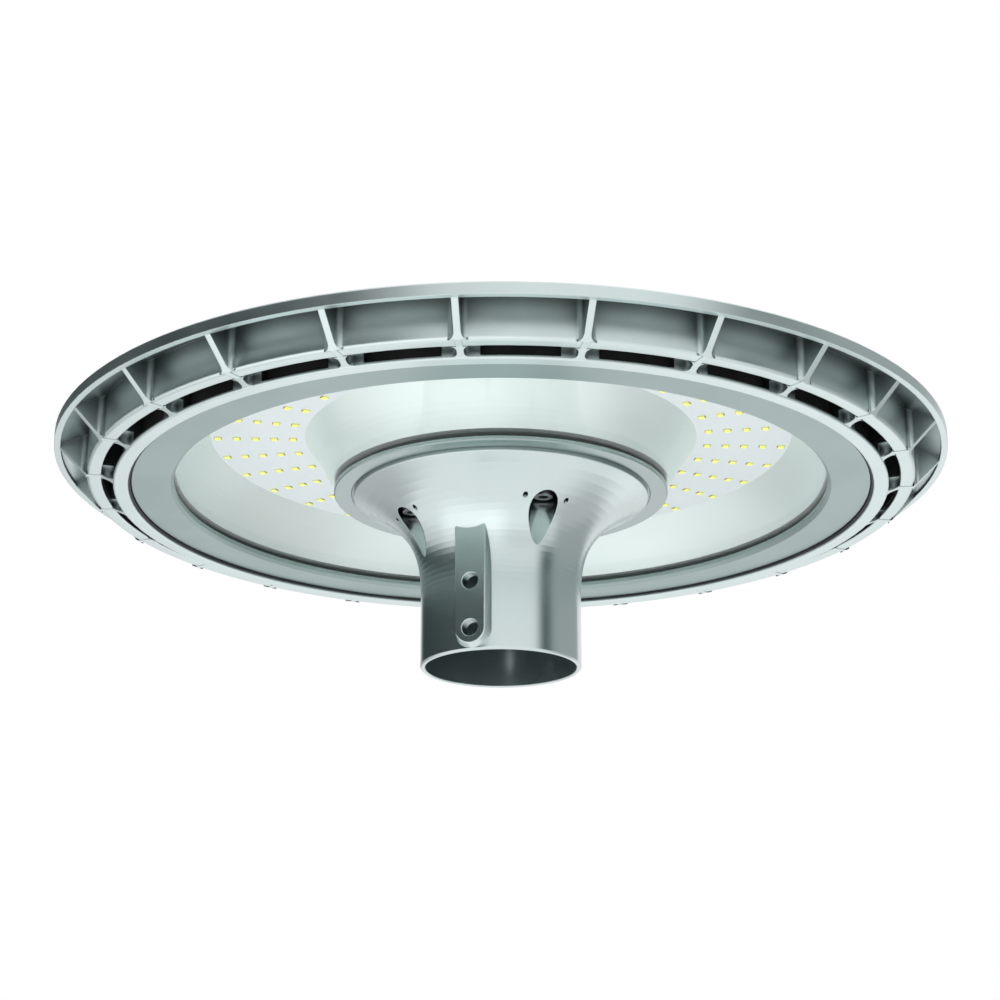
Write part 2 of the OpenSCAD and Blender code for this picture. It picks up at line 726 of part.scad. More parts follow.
// Shallow dome with a flat seat and a pocket for each screw
module top_cover() color("silver")
    difference() {
        intersection() {
            translate([0, 0, dome_centre]) sphere(r = dome_r, $fn = 180);
            translate([0, 0, seat_z]) cylinder(r = cover_r, h = dome_r, $fn = 180);
        }
        intersection() {
            translate([0, 0, dome_centre]) sphere(r = dome_r - cover_t, $fn = 180);
            translate([0, 0, seat_z - cut]) cylinder(r = trough_r, h = dome_r, $fn = 180);
        }
        around(spread(cover_screw_count), cover_screw_r) {
            hole(m5_d * 2.1, cover_land_z, skin_z(trough_r) + cut);
            hole(m5_d + 2 * screw_gap, seat_z - 1, cover_land_z + 1);
        }
    }

module top_cover_seal() color("black")
    ring(cover_seal_r, cover_seal_r + cover_seal_w, seat_z - cover_groove, seat_z);

module top_cover_screws() color("lightgray")
    around(spread(cover_screw_count), cover_screw_r)
        pan_screw(m5_d, cover_screw_land + cover_screw_depth, cover_land_z + 1);

module top_cover_washers() color("dimgray")
    around(spread(cover_screw_count), cover_screw_r)
        ring(m5_d / 2 + screw_gap, m5_d, cover_land_z, cover_land_z + 1);

// Sheet that bridges the well and carries the driver
module gear_tray() color("gainsboro")
    difference() {
        translate([-tray_l / 2, -tray_w / 2, floor_top]) cube([tray_l, tray_w, tray_t]);
        tray_screw_places() hole(m4_d + 2 * screw_gap, floor_top - 1, floor_top + tray_t + 1);
        driver_screw_places() hole(m3_d + 2 * screw_gap, floor_top - 1, floor_top + tray_t + 1);
    }

module tray_screws() color("lightgray")
    tray_screw_places() pan_screw(m4_d, tray_t + tray_screw_depth - 0.3, floor_top + tray_t);

// Places of the screws in the driver's two lugs
module driver_screw_places() {
    for (x = [-1, 1]) translate([x * (driver_l / 2 + driver_lid_t + 5), 0, 0]) children();
}

module driver_case() color("gainsboro")
    translate([-driver_l / 2, -driver_w / 2, driver_z]) cube([driver_l, driver_w, driver_h]);

// End lids with a lug each
module driver_lids() color("dimgray")
    difference() {
        for (side = [0, 1])
            mirror([side, 0, 0])
                translate([driver_l / 2, 0, driver_z]) {
                    translate([0, -driver_w / 2, 0]) cube([driver_lid_t, driver_w, driver_h]);
                    translate([0, -6, 0]) cube([driver_lid_t + 10, 12, driver_lid_t]);
                }
        driver_screw_places() hole(m3_d + 2 * screw_gap, driver_z - 1, driver_z + driver_lid_t + 1);
    }

module driver_screws() color("lightgray")
    driver_screw_places() pan_screw(m3_d, driver_lid_t + tray_t, driver_z + driver_lid_t);

// Two-way block with a wire entry and a screw shaft for each way
module terminal_block() color("ivory")
    difference() {
        translate([-terminal_l / 2, terminal_y - terminal_w / 2, floor_top])
            cube([terminal_l, terminal_w, terminal_h]);
        terminal_screw_places() {
            hole(m3_d + 2 * screw_gap, floor_top - 1, floor_top + terminal_h + 1);
            hole(m3_d * 2.1, floor_top + terminal_foot, floor_top + terminal_h + 1);
        }
        for (x = terminal_ways) {
            translate([x, terminal_y, 0]) hole(4, floor_top + 8, floor_top + terminal_h + 1);
            translate([x, terminal_y - terminal_w / 2 + 8, lead_z])
                rotate([90, 0, 0]) cylinder(d = lead_d + 2 * screw_gap, h = 9, $fn = 24);
        }
    }

module terminal_screws() color("lightgray")
    terminal_screw_places()
        pan_screw(m3_d, terminal_foot + tray_screw_depth - 0.3, floor_top + terminal_foot);

// Body of the cable gland, below the hub's floor
module gland_body() color("dimgray") {
    collar_h = 3;
    dome_h = 10;
    difference() {
        union() {
            translate([0, 0, glass_z - collar_h])
                cylinder(d = gland_flats / cos(30), h = collar_h, $fn = 6);
            translate([0, 0, glass_z - eps]) cylinder(d = gland_d, h = hub_floor + 7);
            translate([0, 0, glass_z - collar_h - dome_h])
                cylinder(d1 = gland_flats * 0.72, d2 = gland_flats * 0.94, h = dome_h + eps, $fn = 48);
        }
        hole(gland_d * 0.6, glass_z - collar_h - dome_h - 1, glass_z + hub_floor + 8);
    }
}

module gland_nut() color("dimgray")
    difference() {
        translate([0, 0, well_z]) cylinder(d = gland_flats / cos(30), h = 5, $fn = 6);
        hole(gland_d + 2 * screw_gap, well_z - 1, well_z + 6);
    }

// Rubber insert of the gland, with the opening for the cord
module gland_seal() color("black")
    ring(gland_d * 0.2, gland_d * 0.3, glass_z - 11, glass_z - 1);

// Rubber grommet in the frame's floor, for the board's leads
module lead_grommet() color("black")
    around([grommet_angle], grommet_r)
        difference() {
            union() {
                hole(grommet_hole_d, floor_z, floor_top);
                hole(grommet_hole_d + 2 * grommet_flange, floor_top, floor_top + grommet_flange);
                hole(grommet_hole_d + 2 * grommet_flange, floor_z - grommet_flange, floor_z);
            }
            for (x = [-1, 1])
                translate([x * lead_pitch / 2, 0, 0])
                    hole(lead_d + 2 * screw_gap, floor_z - 3, floor_top + 3);
        }

// Lead along a line of points, with a round elbow at each bend
module lead(points) {
    for (i = [0:len(points) - 2]) {
        run = points[i + 1] - points[i];
        translate(points[i])
            rotate([0, acos(run[2] / norm(run)), atan2(run[1], run[0])])
                cylinder(d = lead_d, h = norm(run), $fn = 24);
        if (i > 0)
            translate(points[i]) sphere(d = lead_d * 1.05, $fn = 24);
    }
}

// Pair of leads from the driver's lid through the grommet to the board
module led_leads() color("red") {
    lid_x = driver_l / 2 + driver_lid_t;
    down_z = board_z - lead_d * 1.6;
    pad_r = board_in_r + lead_d;
    for (side = [-1, 1]) {
        s = side * lead_pitch / 2;
        drop = [grommet_r * sin(grommet_angle) + s * cos(grommet_angle),
            -grommet_r * cos(grommet_angle) + s * sin(grommet_angle)];
        end = [pad_r * sin(grommet_angle) + s * cos(grommet_angle),
            -pad_r * cos(grommet_angle) + s * sin(grommet_angle)];
        y = -driver_w / 4 + s * 2;
        lead([[lid_x, y, lead_z], [drop[0], y, lead_z], [drop[0], drop[1], lead_z],
            [drop[0], drop[1], down_z], [end[0], end[1], down_z], [end[0], end[1], board_z]]);
    }
}

// Pair of leads from the terminal block to the driver's other lid
module supply_leads() color("brown") {
    lid_x = driver_l / 2 + driver_lid_t;
    for (i = [0:1]) {
        x = terminal_ways[i];
        far_x = -lid_x - 4 * lead_d - 2 * lead_pitch * (1 - i);
        turn_y = tray_w / 2 + 4 * lead_d + 2 * lead_pitch * (1 - i);
        y = driver_w / 4 + 2 * lead_pitch * i;
        lead([[x, terminal_y - terminal_w / 2 + 7, lead_z], [x, turn_y, lead_z], [far_x, turn_y, lead_z],
            [far_x, y, lead_z], [-lid_x, y, lead_z]]);
    }
}

frame_casting();
bezel();
bezel_seal();
bezel_screws();
glass();
glass_outer_gasket();
glass_inner_gasket();
inner_ring();
outer_reflector();
inner_reflector();
led_board();
led_chips();
board_screws();
thermal_pad();
spigot();
spigot_gasket();
spigot_screws();
spigot_washers();
top_cover();
top_cover_seal();
top_cover_screws();
top_cover_washers();
gear_tray();
tray_screws();
driver_case();
driver_lids();
driver_screws();
terminal_block();
terminal_screws();
gland_body();
gland_nut();
gland_seal();
lead_grommet();
led_leads();
supply_leads();
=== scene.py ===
"""Finishes, light-emitting diodes, camera and studio for a flat round post-top garden light."""

import json
import logging
import math
from dataclasses import dataclass, field
from enum import Enum
from typing import Callable, Union

import bpy
from mathutils import Matrix, Vector


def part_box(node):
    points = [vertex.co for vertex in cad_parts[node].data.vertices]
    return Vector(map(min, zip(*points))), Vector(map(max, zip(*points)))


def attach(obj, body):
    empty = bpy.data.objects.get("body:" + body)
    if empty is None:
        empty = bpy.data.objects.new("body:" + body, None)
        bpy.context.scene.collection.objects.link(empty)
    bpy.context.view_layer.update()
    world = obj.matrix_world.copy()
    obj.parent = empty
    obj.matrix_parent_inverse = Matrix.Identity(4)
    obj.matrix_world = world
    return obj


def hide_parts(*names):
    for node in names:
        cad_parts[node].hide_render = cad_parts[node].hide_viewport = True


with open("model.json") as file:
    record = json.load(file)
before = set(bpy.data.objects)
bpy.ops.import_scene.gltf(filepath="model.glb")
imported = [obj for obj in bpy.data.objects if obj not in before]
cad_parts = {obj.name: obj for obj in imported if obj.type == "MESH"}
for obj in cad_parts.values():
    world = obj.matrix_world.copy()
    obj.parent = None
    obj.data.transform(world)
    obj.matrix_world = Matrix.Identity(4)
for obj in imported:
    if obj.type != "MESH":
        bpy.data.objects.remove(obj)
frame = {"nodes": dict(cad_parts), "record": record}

LOG = logging.getLogger("garden_light")
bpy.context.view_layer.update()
MM = 0.001
Triple = tuple[float, float, float]
Colour = Triple
Value = Union["Field", float, int, Triple]
Element = Union[bpy.types.MeshPolygon, bpy.types.MeshVertex]
WHITE: Colour = (1.0, 1.0, 1.0)
DUST: Colour = (0.42, 0.41, 0.37)
UP = Vector((0.0, 0.0, 1.0))


def shade(colour: Colour, factor: float) -> Colour:
    """The colour, darker or lighter by a factor and no lighter than white."""
    return tuple(min(1.0, channel * factor) for channel in colour)


class Field:
    """A shader value that combines with others by ordinary arithmetic."""

    def __init__(self, graph: "Graph", socket: bpy.types.NodeSocket) -> None:
        """Keep the graph and the socket that carries the value.

        Args:
            graph: the material graph the socket belongs to.
            socket: the output socket.
        """
        self.graph = graph
        self.socket = socket

    def _math(self, operation: str, first: Value, second: Value = 0.0) -> "Field":
        """Add one Math node and return its result."""
        return self.graph.node("ShaderNodeMath", {"operation": operation}, {0: first, 1: second})

    def __add__(self, other: Value) -> "Field":
        """Sum."""
        return self._math("ADD", self, other)

    def __radd__(self, other: Value) -> "Field":
        """Sum with the plain number first."""
        return self._math("ADD", other, self)

    def __sub__(self, other: Value) -> "Field":
        """Difference."""
        return self._math("SUBTRACT", self, other)

    def __rsub__(self, other: Value) -> "Field":
        """Difference with the plain number first."""
        return self._math("SUBTRACT", other, self)

    def __mul__(self, other: Value) -> "Field":
        """Product."""
        return self._math("MULTIPLY", self, other)

    def __rmul__(self, other: Value) -> "Field":
        """Product with the plain number first."""
        return self._math("MULTIPLY", other, self)

    def __pow__(self, other: Value) -> "Field":
        """Power."""
        return self._math("POWER", self, other)

    def __abs__(self) -> "Field":
        """Size without its sign."""
        return self._math("ABSOLUTE", self)

    def sine(self) -> "Field":
        """Sine of the value in radians."""
        return self._math("SINE", self)

    def at_most(self, other: Value) -> "Field":
        """The smaller of two values."""
        return self._math("MINIMUM", self, other)

    def ramp(self, low: float, high: float) -> "Field":
        """Smooth step from 0 at low to 1 at high, or back where high is the smaller.

        Args:
            low: value that gives 0.
            high: value that gives 1.

        Returns:
            The stepped value.
        """
        start, end = (low, high) if low < high else (high, low)
        step = self.graph.node(
            "ShaderNodeMapRange",
            {"interpolation_type": "SMOOTHSTEP"},
            {"Value": self, "From Min": start, "From Max": end},
        )
        return step if low < high else 1.0 - step


class Graph:
    """The node graph of one material or world, and of a material its object coordinates."""

    def __init__(self, owner: Union[bpy.types.Material, bpy.types.World]) -> None:
        """Start an empty graph.

        Args:
            owner: the material or world that the graph belongs to.
        """
        self.owner = owner
        owner.use_nodes = True
        self.nodes = owner.node_tree.nodes
        self.links = owner.node_tree.links
        self.nodes.clear()
        self.place: Union[Field, None] = None

    @classmethod
    def of_material(cls, name: str) -> "Graph":
        """Empty graph of a new material that reads object coordinates."""
        graph = cls(bpy.data.materials.new(name))
        graph.place = graph.node("ShaderNodeTexCoord", {}, {}, "Object")
        return graph

    def node(
        self,
        kind: str,
        settings: dict[str, object],
        inputs: dict[Union[str, int], Value],
        output: Union[str, int, None] = 0,
    ) -> Union[Field, None]:
        """Add one node with its settings first and then its sockets.

        Args:
            kind: the node's type.
            settings: attributes to set.
            inputs: socket name or index to a value or another field.
            output: name or index of the output to return, or None where there is none.

        Returns:
            The chosen output as a field, or None where there is none.
        """
        made = self.nodes.new(kind)
        for key, value in settings.items():
            setattr(made, key, value)
        for key, value in inputs.items():
            self.feed(made.inputs[key], value)
        return None if output is None else Field(self, made.outputs[output])

    def feed(self, socket: bpy.types.NodeSocket, value: Value) -> None:
        """Set a socket to a plain value or link a field to it.

        Args:
            socket: the input socket.
            value: a number, a colour or a field.
        """
        if isinstance(value, Field):
            self.links.new(value.socket, socket)
        elif isinstance(value, tuple) and socket.type == "RGBA":
            socket.default_value = (*value, 1.0)
        else:
            socket.default_value = value

    def noise(self, scale: float, detail: float = 2.0, stretch: Triple = (1.0, 1.0, 1.0)) -> Field:
        """Soft noise between 0 and 1 over the object's own coordinates.

        Args:
            scale: how many features there are in a metre.
            detail: how many finer layers are added.
            stretch: scale along each axis, so a small number draws the pattern out.

        Returns:
            The noise value.
        """
        spot = self.node("ShaderNodeMapping", {}, {"Vector": self.place, "Scale": stretch})
        return self.node(
            "ShaderNodeTexNoise", {}, {"Vector": spot, "Scale": scale, "Detail": detail}, "Fac"
        )

    def polar(self) -> tuple[Field, Field, Field]:
        """Radius from the post's axis, angle about it and height, in metres and radians."""
        apart = self.nodes.new("ShaderNodeSeparateXYZ")
        self.links.new(self.place.socket, apart.inputs[0])
        x, y, z = (Field(self, apart.outputs[i]) for i in range(3))
        radius = (x * x + y * y) ** 0.5
        angle = self.node("ShaderNodeMath", {"operation": "ARCTAN2"}, {0: y, 1: x})
        return radius, angle, z

    def round_noise(self, across: float, around: float, detail: float = 3.0) -> Field:
        """Noise drawn out round the axis, as a lathe or a polishing wheel leaves it.

        Args:
            across: features in a metre along the radius and the height.
            around: features in a full turn.
            detail: how many finer layers are added.

        Returns:
            The noise value.
        """
        radius, angle, z = self.polar()
        spot = self.node(
            "ShaderNodeCombineXYZ", {}, {0: radius * across, 1: angle * around, 2: z * across}
        )
        return self.node(
            "ShaderNodeTexNoise", {}, {"Vector": spot, "Scale": 1.0, "Detail": detail}, "Fac"
        )

    def blend(self, share: Value, first: Value, second: Value) -> Field:
        """Mix two colours.

        Args:
            share: 0 gives the first and 1 the second.
            first: a colour.
            second: a colour.

        Returns:
            The mixed colour.
        """
        mix = self.nodes.new("ShaderNodeMix")
        mix.data_type = "RGBA"
        self.feed(mix.inputs["Factor"], share)
        colours = [s for s in mix.inputs if s.type == "RGBA"]
        self.feed(colours[0], first)
        self.feed(colours[1], second)
        return Field(self, next(s for s in mix.outputs if s.type == "RGBA"))

    def relief(self, height: Value, depth: float, strength: float, edge: float = 0.0) -> Field:
        """Normal with a fine relief on it and, if asked, softened edges.

        Args:
            height: the relief's height between 0 and 1.
            depth: height of a full step in metres.
            strength: how much of the relief shows.
            edge: radius over which sharp edges look rounded, in metres.

        Returns:
            The normal.
        """
        inputs: dict[Union[str, int], Value] = {
            "Height": height, "Distance": depth, "Strength": strength,
        }
        if edge:
            inputs["Normal"] = self.node("ShaderNodeBevel", {"samples": 4}, {"Radius": edge})
        return self.node("ShaderNodeBump", {}, inputs)

    def surface(self, **sockets: Value) -> Field:
        """Principled surface from its sockets, named with underscores for spaces.

        Args:
            **sockets: values or fields for the shader's sockets.

        Returns:
            The shader.
        """
        named = {key.replace("_", " "): value for key, value in sockets.items()}
        return self.node("ShaderNodeBsdfPrincipled", {}, named)

    def finish(self, shader: Field, output: str = "ShaderNodeOutputMaterial") -> bpy.types.ID:
        """Send the shader to the graph's output.

        Args:
            shader: the shader to show.
            output: type of the output node.

        Returns:
            The finished material or world.
        """
        self.node(output, {}, {"Surface": shader}, None)
        return self.owner


@dataclass(frozen=True)
class PowderCoat:
    """Fine metallic coat on a die casting or a turned ring."""

    name: str
    colour: Colour
    roughness: float = 0.34
    edge: float = 0.5 * MM
    drift_scale: float = 9.0
    flake_scale: float = 5200.0
    flake_share: float = 0.14
    peel_scale: float = 1300.0
    peel_depth: float = 0.004 * MM
    dust_scale: float = 26.0
    dust_share: float = 0.04
    # Reach in metres and darkening factor of the painted shade in recesses; a reach of 0 gives no
    # painted shade.
    painted_shade_reach: float = 0.0
    painted_shade_factor: float = 0.26

    def make(self) -> bpy.types.Material:
        """Build the coat with its drift in tone, metal flakes, fine peel and painted shade that
        darkens its hollows.
        """
        g = Graph.of_material(self.name)
        drift = g.noise(self.drift_scale, 3.0)
        flake = g.noise(self.flake_scale, 1.0)
        peel = g.noise(self.peel_scale, 2.0)
        height = g.polar()[2]
        clouds = g.noise(self.dust_scale, 5.0)
        settled = (clouds * 0.9 + (height * 3.0).at_most(0.4)).ramp(0.60, 0.95)
        tone = g.blend(drift, shade(self.colour, 0.96), self.colour)
        tone = g.blend(flake.ramp(0.45, 0.75) * self.flake_share, tone, shade(self.colour, 1.25))
        tone = g.blend(settled * self.dust_share, tone, DUST)
        # Painted shade: ambient occlusion darkens the coat in recesses, such as the cells and the
        # spigot's bore, where shade falls.
        if self.painted_shade_reach:
            open_share = g.node(
                "ShaderNodeAmbientOcclusion", {"samples": 8}, {"Distance": self.painted_shade_reach}, "AO"
            )
            painted_shade_tone = shade(self.colour, self.painted_shade_factor)
            tone = g.blend(open_share.ramp(0.15, 0.85), painted_shade_tone, tone)
        rough = self.roughness + (drift - 0.5) * 0.05 + settled * 0.08 + (flake - 0.5) * 0.06
        shader = g.surface(
            Base_Color=tone,
            Metallic=1.0,
            Roughness=rough,
            Normal=g.relief(peel * 0.6 + flake * 0.4, self.peel_depth, 0.5, self.edge),
        )
        return g.finish(shader)


@dataclass(frozen=True)
class SatinSheet:
    """Satin-anodised reflector sheet, spun on a wheel."""

    name: str
    colour: Colour
    roughness: float = 0.36
    metallic: float = 0.80
    lines_across: float = 2400.0
    lines_around: float = 9.0
    grain_scale: float = 1500.0
    grain_depth: float = 0.008 * MM

    def make(self) -> bpy.types.Material:
        """Build the sheet with its fine round grain and faint clouding."""
        g = Graph.of_material(self.name)
        spun = g.round_noise(self.lines_across, self.lines_around)
        cloud = g.noise(18.0, 3.0)
        grain = g.noise(self.grain_scale, 2.0)
        tone = g.blend(cloud * 0.5 + spun * 0.3, shade(self.colour, 0.95), self.colour)
        rough = self.roughness + (spun - 0.5) * 0.12 + (cloud - 0.5) * 0.06
        shader = g.surface(
            Base_Color=tone,
            Metallic=self.metallic,
            Roughness=rough,
            Normal=g.relief(spun * 0.5 + grain * 0.5, self.grain_depth, 0.5),
        )
        return g.finish(shader)


@dataclass(frozen=True)
class CoverGlass:
    """Clear toughened glass that lets lamps light what is behind it.

    Its index is close to 1, so the view through it isn't shifted, and its coat gives the shine.
    """

    name: str
    tint: Colour = (0.965, 0.985, 0.975)
    index: float = 1.02
    shine: float = 0.35
    shine_index: float = 1.45
    wave_depth: float = 0.01 * MM

    def make(self) -> bpy.types.Material:
        """Build the glass with faint smears in its polish."""
        g = Graph.of_material(self.name)
        smear = g.noise(30.0, 4.0, (1.0, 2.2, 1.0)).ramp(0.45, 0.8)
        pane = g.surface(
            Base_Color=self.tint,
            Roughness=smear * 0.02,
            IOR=self.index,
            Transmission_Weight=1.0,
            Coat_Weight=self.shine,
            Coat_IOR=self.shine_index,
            Coat_Roughness=0.01,
            Normal=g.relief(g.noise(14.0, 1.0), self.wave_depth, 0.3),
        )
        clear = g.node("ShaderNodeBsdfTransparent", {}, {"Color": self.tint})
        lamp_ray = g.node("ShaderNodeLightPath", {}, {}, "Is Shadow Ray")
        return g.finish(g.node("ShaderNodeMixShader", {}, {0: lamp_ray, 1: pane, 2: clear}))


@dataclass(frozen=True)
class Moulding:
    """Moulded plastic or rubber with a fine eroded texture."""

    name: str
    colour: Colour
    roughness: float = 0.5
    texture_scale: float = 1400.0
    texture_depth: float = 0.03 * MM
    edge: float = 0.3 * MM
    bloom: float = 0.12

    def make(self) -> bpy.types.Material:
        """Build the moulding with its texture and its pale bloom."""
        g = Graph.of_material(self.name)
        cloud = g.noise(60.0, 3.0)
        skin = g.noise(self.texture_scale, 2.0)
        pale = tuple(min(1.0, c + self.bloom * (0.4 + c)) for c in self.colour)
        tone = g.blend(cloud.ramp(0.35, 0.85) * 0.5, self.colour, pale)
        rough = self.roughness + (cloud - 0.5) * 0.14 + (skin - 0.5) * 0.08
        shader = g.surface(
            Base_Color=tone,
            Roughness=rough,
            Normal=g.relief(skin, self.texture_depth, 0.5, self.edge),
        )
        return g.finish(shader)


@dataclass(frozen=True)
class BareMetal:
    """Uncoated metal of screws, washers and sheet, with drawn or rolled lines."""

    name: str
    colour: Colour
    roughness: float = 0.3
    lines: Triple = (1.0, 1.0, 0.08)
    line_scale: float = 1800.0
    line_depth: float = 0.01 * MM
    edge: float = 0.2 * MM
    spangle: float = 0.0

    def make(self) -> bpy.types.Material:
        """Build the metal with its lines, light tarnish and, on zinc, its spangle."""
        g = Graph.of_material(self.name)
        drawn = g.noise(self.line_scale, 3.0, self.lines)
        tarnish = g.noise(110.0, 4.0).ramp(0.45, 0.9)
        tone = g.blend(drawn * 0.5, shade(self.colour, 0.86), self.colour)
        tone = g.blend(tarnish * 0.22, tone, shade(self.colour, 0.55))
        if self.spangle:
            flakes = g.node(
                "ShaderNodeTexVoronoi", {}, {"Vector": g.place, "Scale": 160.0}, "Color"
            )
            tone = g.blend(flakes * self.spangle, tone, shade(self.colour, 0.72))
        rough = self.roughness + (drawn - 0.5) * 0.14 + tarnish * 0.12
        shader = g.surface(
            Base_Color=tone,
            Metallic=1.0,
            Roughness=rough,
            Normal=g.relief(drawn, self.line_depth, 0.5, self.edge),
        )
        return g.finish(shader)


@dataclass(frozen=True)
class ChipLayout:
    """How the chips stand on the board: straight rows outwards, in rings."""

    rows: int = 32
    rings: int = 5
    first_ring: float = 111.5 * MM
    ring_pitch: float = 10.025 * MM


@dataclass(frozen=True)
class BoardMask:
    """White solder mask over the board, with the tracks faintly raised under it."""

    name: str
    layout: ChipLayout
    colour: Colour = (0.74, 0.775, 0.815)
    track_edge: tuple[float, float] = (1.9 * MM, 1.5 * MM)
    track_depth: float = 0.06 * MM

    def make(self) -> bpy.types.Material:
        """Build the mask, with the track along each row raised between the rings of chips."""
        g = Graph.of_material(self.name)
        radius, angle, _ = g.polar()
        turn = angle * (self.layout.rows / 2.0)
        off_row = abs(turn.sine()) * radius * (2.0 / self.layout.rows)
        ring_turn = (radius - self.layout.first_ring) * (math.pi / self.layout.ring_pitch)
        ring = abs(ring_turn.sine())
        track = off_row.ramp(*self.track_edge)
        gap = (1.0 - ring.ramp(0.95, 0.99)) * track
        weave = g.noise(700.0, 2.0, (1.0, 1.0, 0.4))
        cloud = g.noise(35.0, 3.0)
        tone = g.blend(cloud * 0.5 + weave * 0.2, shade(self.colour, 0.96), self.colour)
        tone = g.blend(gap * 0.25, tone, shade(self.colour, 1.06))
        rough = 0.38 + (cloud - 0.5) * 0.08
        shader = g.surface(
            Base_Color=tone,
            Roughness=rough,
            Normal=g.relief(gap + weave * 0.1, self.track_depth, 0.8),
        )
        return g.finish(shader)


@dataclass(frozen=True)
class Phosphor:
    """Yellow phosphor gel or resin of a chip, with a painted glow: a faint emission, though the
    diodes are not lit.
    """

    name: str
    colour: Colour = (0.89, 0.90, 0.06)
    glow: float = 0.40
    grain_scale: float = 3800.0
    grain_depth: float = 0.01 * MM

    def make(self) -> bpy.types.Material:
        """Build the phosphor with its grains and its soft gel surface."""
        g = Graph.of_material(self.name)
        grains = g.noise(self.grain_scale, 2.0)
        cloud = g.noise(320.0, 1.0)
        tone = g.blend(grains * 0.6 + cloud * 0.3, shade(self.colour, 0.86), self.colour)
        shader = g.surface(
            Base_Color=tone,
            Roughness=0.28 + (cloud - 0.5) * 0.1,
            # Painted glow: this emission brightens the phosphor, though no current lights the
            # diodes.
            Emission_Color=self.colour,
            Emission_Strength=self.glow,
            Normal=g.relief(grains, self.grain_depth, 0.4),
        )
        return g.finish(shader)


class Shelf(Enum):
    """The finishes, by the material slots of the record and, for the chips, two more."""

    BODY = "body_paint"
    SPIGOT = "spigot_paint"
    BEZEL = "bezel_paint"
    TRIM = "trim_paint"
    REFLECTOR = "reflector_metal"
    GLASS = "clear_glass"
    BLACK_RUBBER = "black_rubber"
    GREY_RUBBER = "grey_rubber"
    BOARD = "board_white"
    CHIP = "chip_yellow"
    PACKAGE = "package_resin"
    SOLDER = "solder"
    FILM = "thermal_film"
    STAINLESS = "stainless"
    ZINC = "zinc_sheet"
    CASE = "case_metal"
    LID = "lid_plastic"
    TERMINAL = "terminal_plastic"
    GLAND = "gland_plastic"
    RED = "lead_red"
    BROWN = "lead_brown"


@dataclass
class Finishes:
    """All finishes, made once and handed out by material slot."""

    layout: ChipLayout
    made: dict[Shelf, bpy.types.Material] = field(default_factory=dict)

    def build(self) -> None:
        """Make one material for each slot."""
        recipes = {
            # The body and spigot coats carry painted shade in their recesses; the bezel and trim
            # coats have none.
            Shelf.BODY: PowderCoat("body powder coat", (0.685, 0.785, 0.78), 0.30, painted_shade_reach=26 * MM),
            Shelf.SPIGOT: PowderCoat(
                "spigot powder coat", (0.655, 0.75, 0.745), 0.22, painted_shade_reach=50 * MM
            ),
            Shelf.BEZEL: PowderCoat("bezel powder coat", (0.355, 0.445, 0.44), 0.34),
            Shelf.TRIM: PowderCoat("trim ring coat", (0.38, 0.46, 0.455), 0.20),
            Shelf.REFLECTOR: SatinSheet("satin reflector sheet", (0.785, 0.86, 0.855)),
            Shelf.GLASS: CoverGlass("cover glass"),
            Shelf.BLACK_RUBBER: Moulding("black silicone", (0.012, 0.013, 0.013), 0.55),
            Shelf.GREY_RUBBER: Moulding("grey silicone", (0.46, 0.51, 0.505), 0.5),
            Shelf.BOARD: BoardMask("white board mask", self.layout),
            Shelf.CHIP: Phosphor("chip phosphor"),
            # The package resin carries a fainter painted glow than the phosphor.
            Shelf.PACKAGE: Phosphor("package resin", (0.80, 0.78, 0.16), 0.15),
            Shelf.SOLDER: BareMetal("solder", (0.34, 0.33, 0.16), 0.42),
            Shelf.FILM: Moulding("thermal film", (0.35, 0.50, 0.62), 0.7),
            Shelf.STAINLESS: BareMetal("stainless steel", (0.36, 0.37, 0.37), 0.30),
            Shelf.ZINC: BareMetal("zinc-plated sheet", (0.62, 0.64, 0.66), 0.36, spangle=0.5),
            Shelf.CASE: BareMetal("extruded case", (0.70, 0.71, 0.72), 0.36, (0.08, 1.0, 1.0)),
            Shelf.LID: Moulding("black lid plastic", (0.02, 0.02, 0.022), 0.45),
            Shelf.TERMINAL: Moulding("ivory terminal plastic", (0.72, 0.68, 0.56), 0.4),
            Shelf.GLAND: Moulding("black gland plastic", (0.016, 0.016, 0.018), 0.42),
            Shelf.RED: Moulding("red insulation", (0.45, 0.02, 0.015), 0.38),
            Shelf.BROWN: Moulding("brown insulation", (0.14, 0.05, 0.02), 0.38),
        }
        for shelf, recipe in recipes.items():
            self.made[shelf] = recipe.make()
            LOG.info("finish %s: %s", shelf.value, recipe.name)

    def put_on(self, piece: bpy.types.Object, shelf: Shelf) -> None:
        """Give a piece one finish in place of any other."""
        piece.data.materials.clear()
        piece.data.materials.append(self.made[shelf])

    def dress(self, nodes: dict[str, bpy.types.Object], subparts: list[dict[str, str]]) -> None:
        """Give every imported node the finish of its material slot.

        Args:
            nodes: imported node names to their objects.
            subparts: the record's list of nodes and their slots.
        """
        for part in subparts:
            self.put_on(nodes[part["node"]], Shelf(part["material_slot"]))
            LOG.info("node %s: %s", part["node"], part["material_slot"])


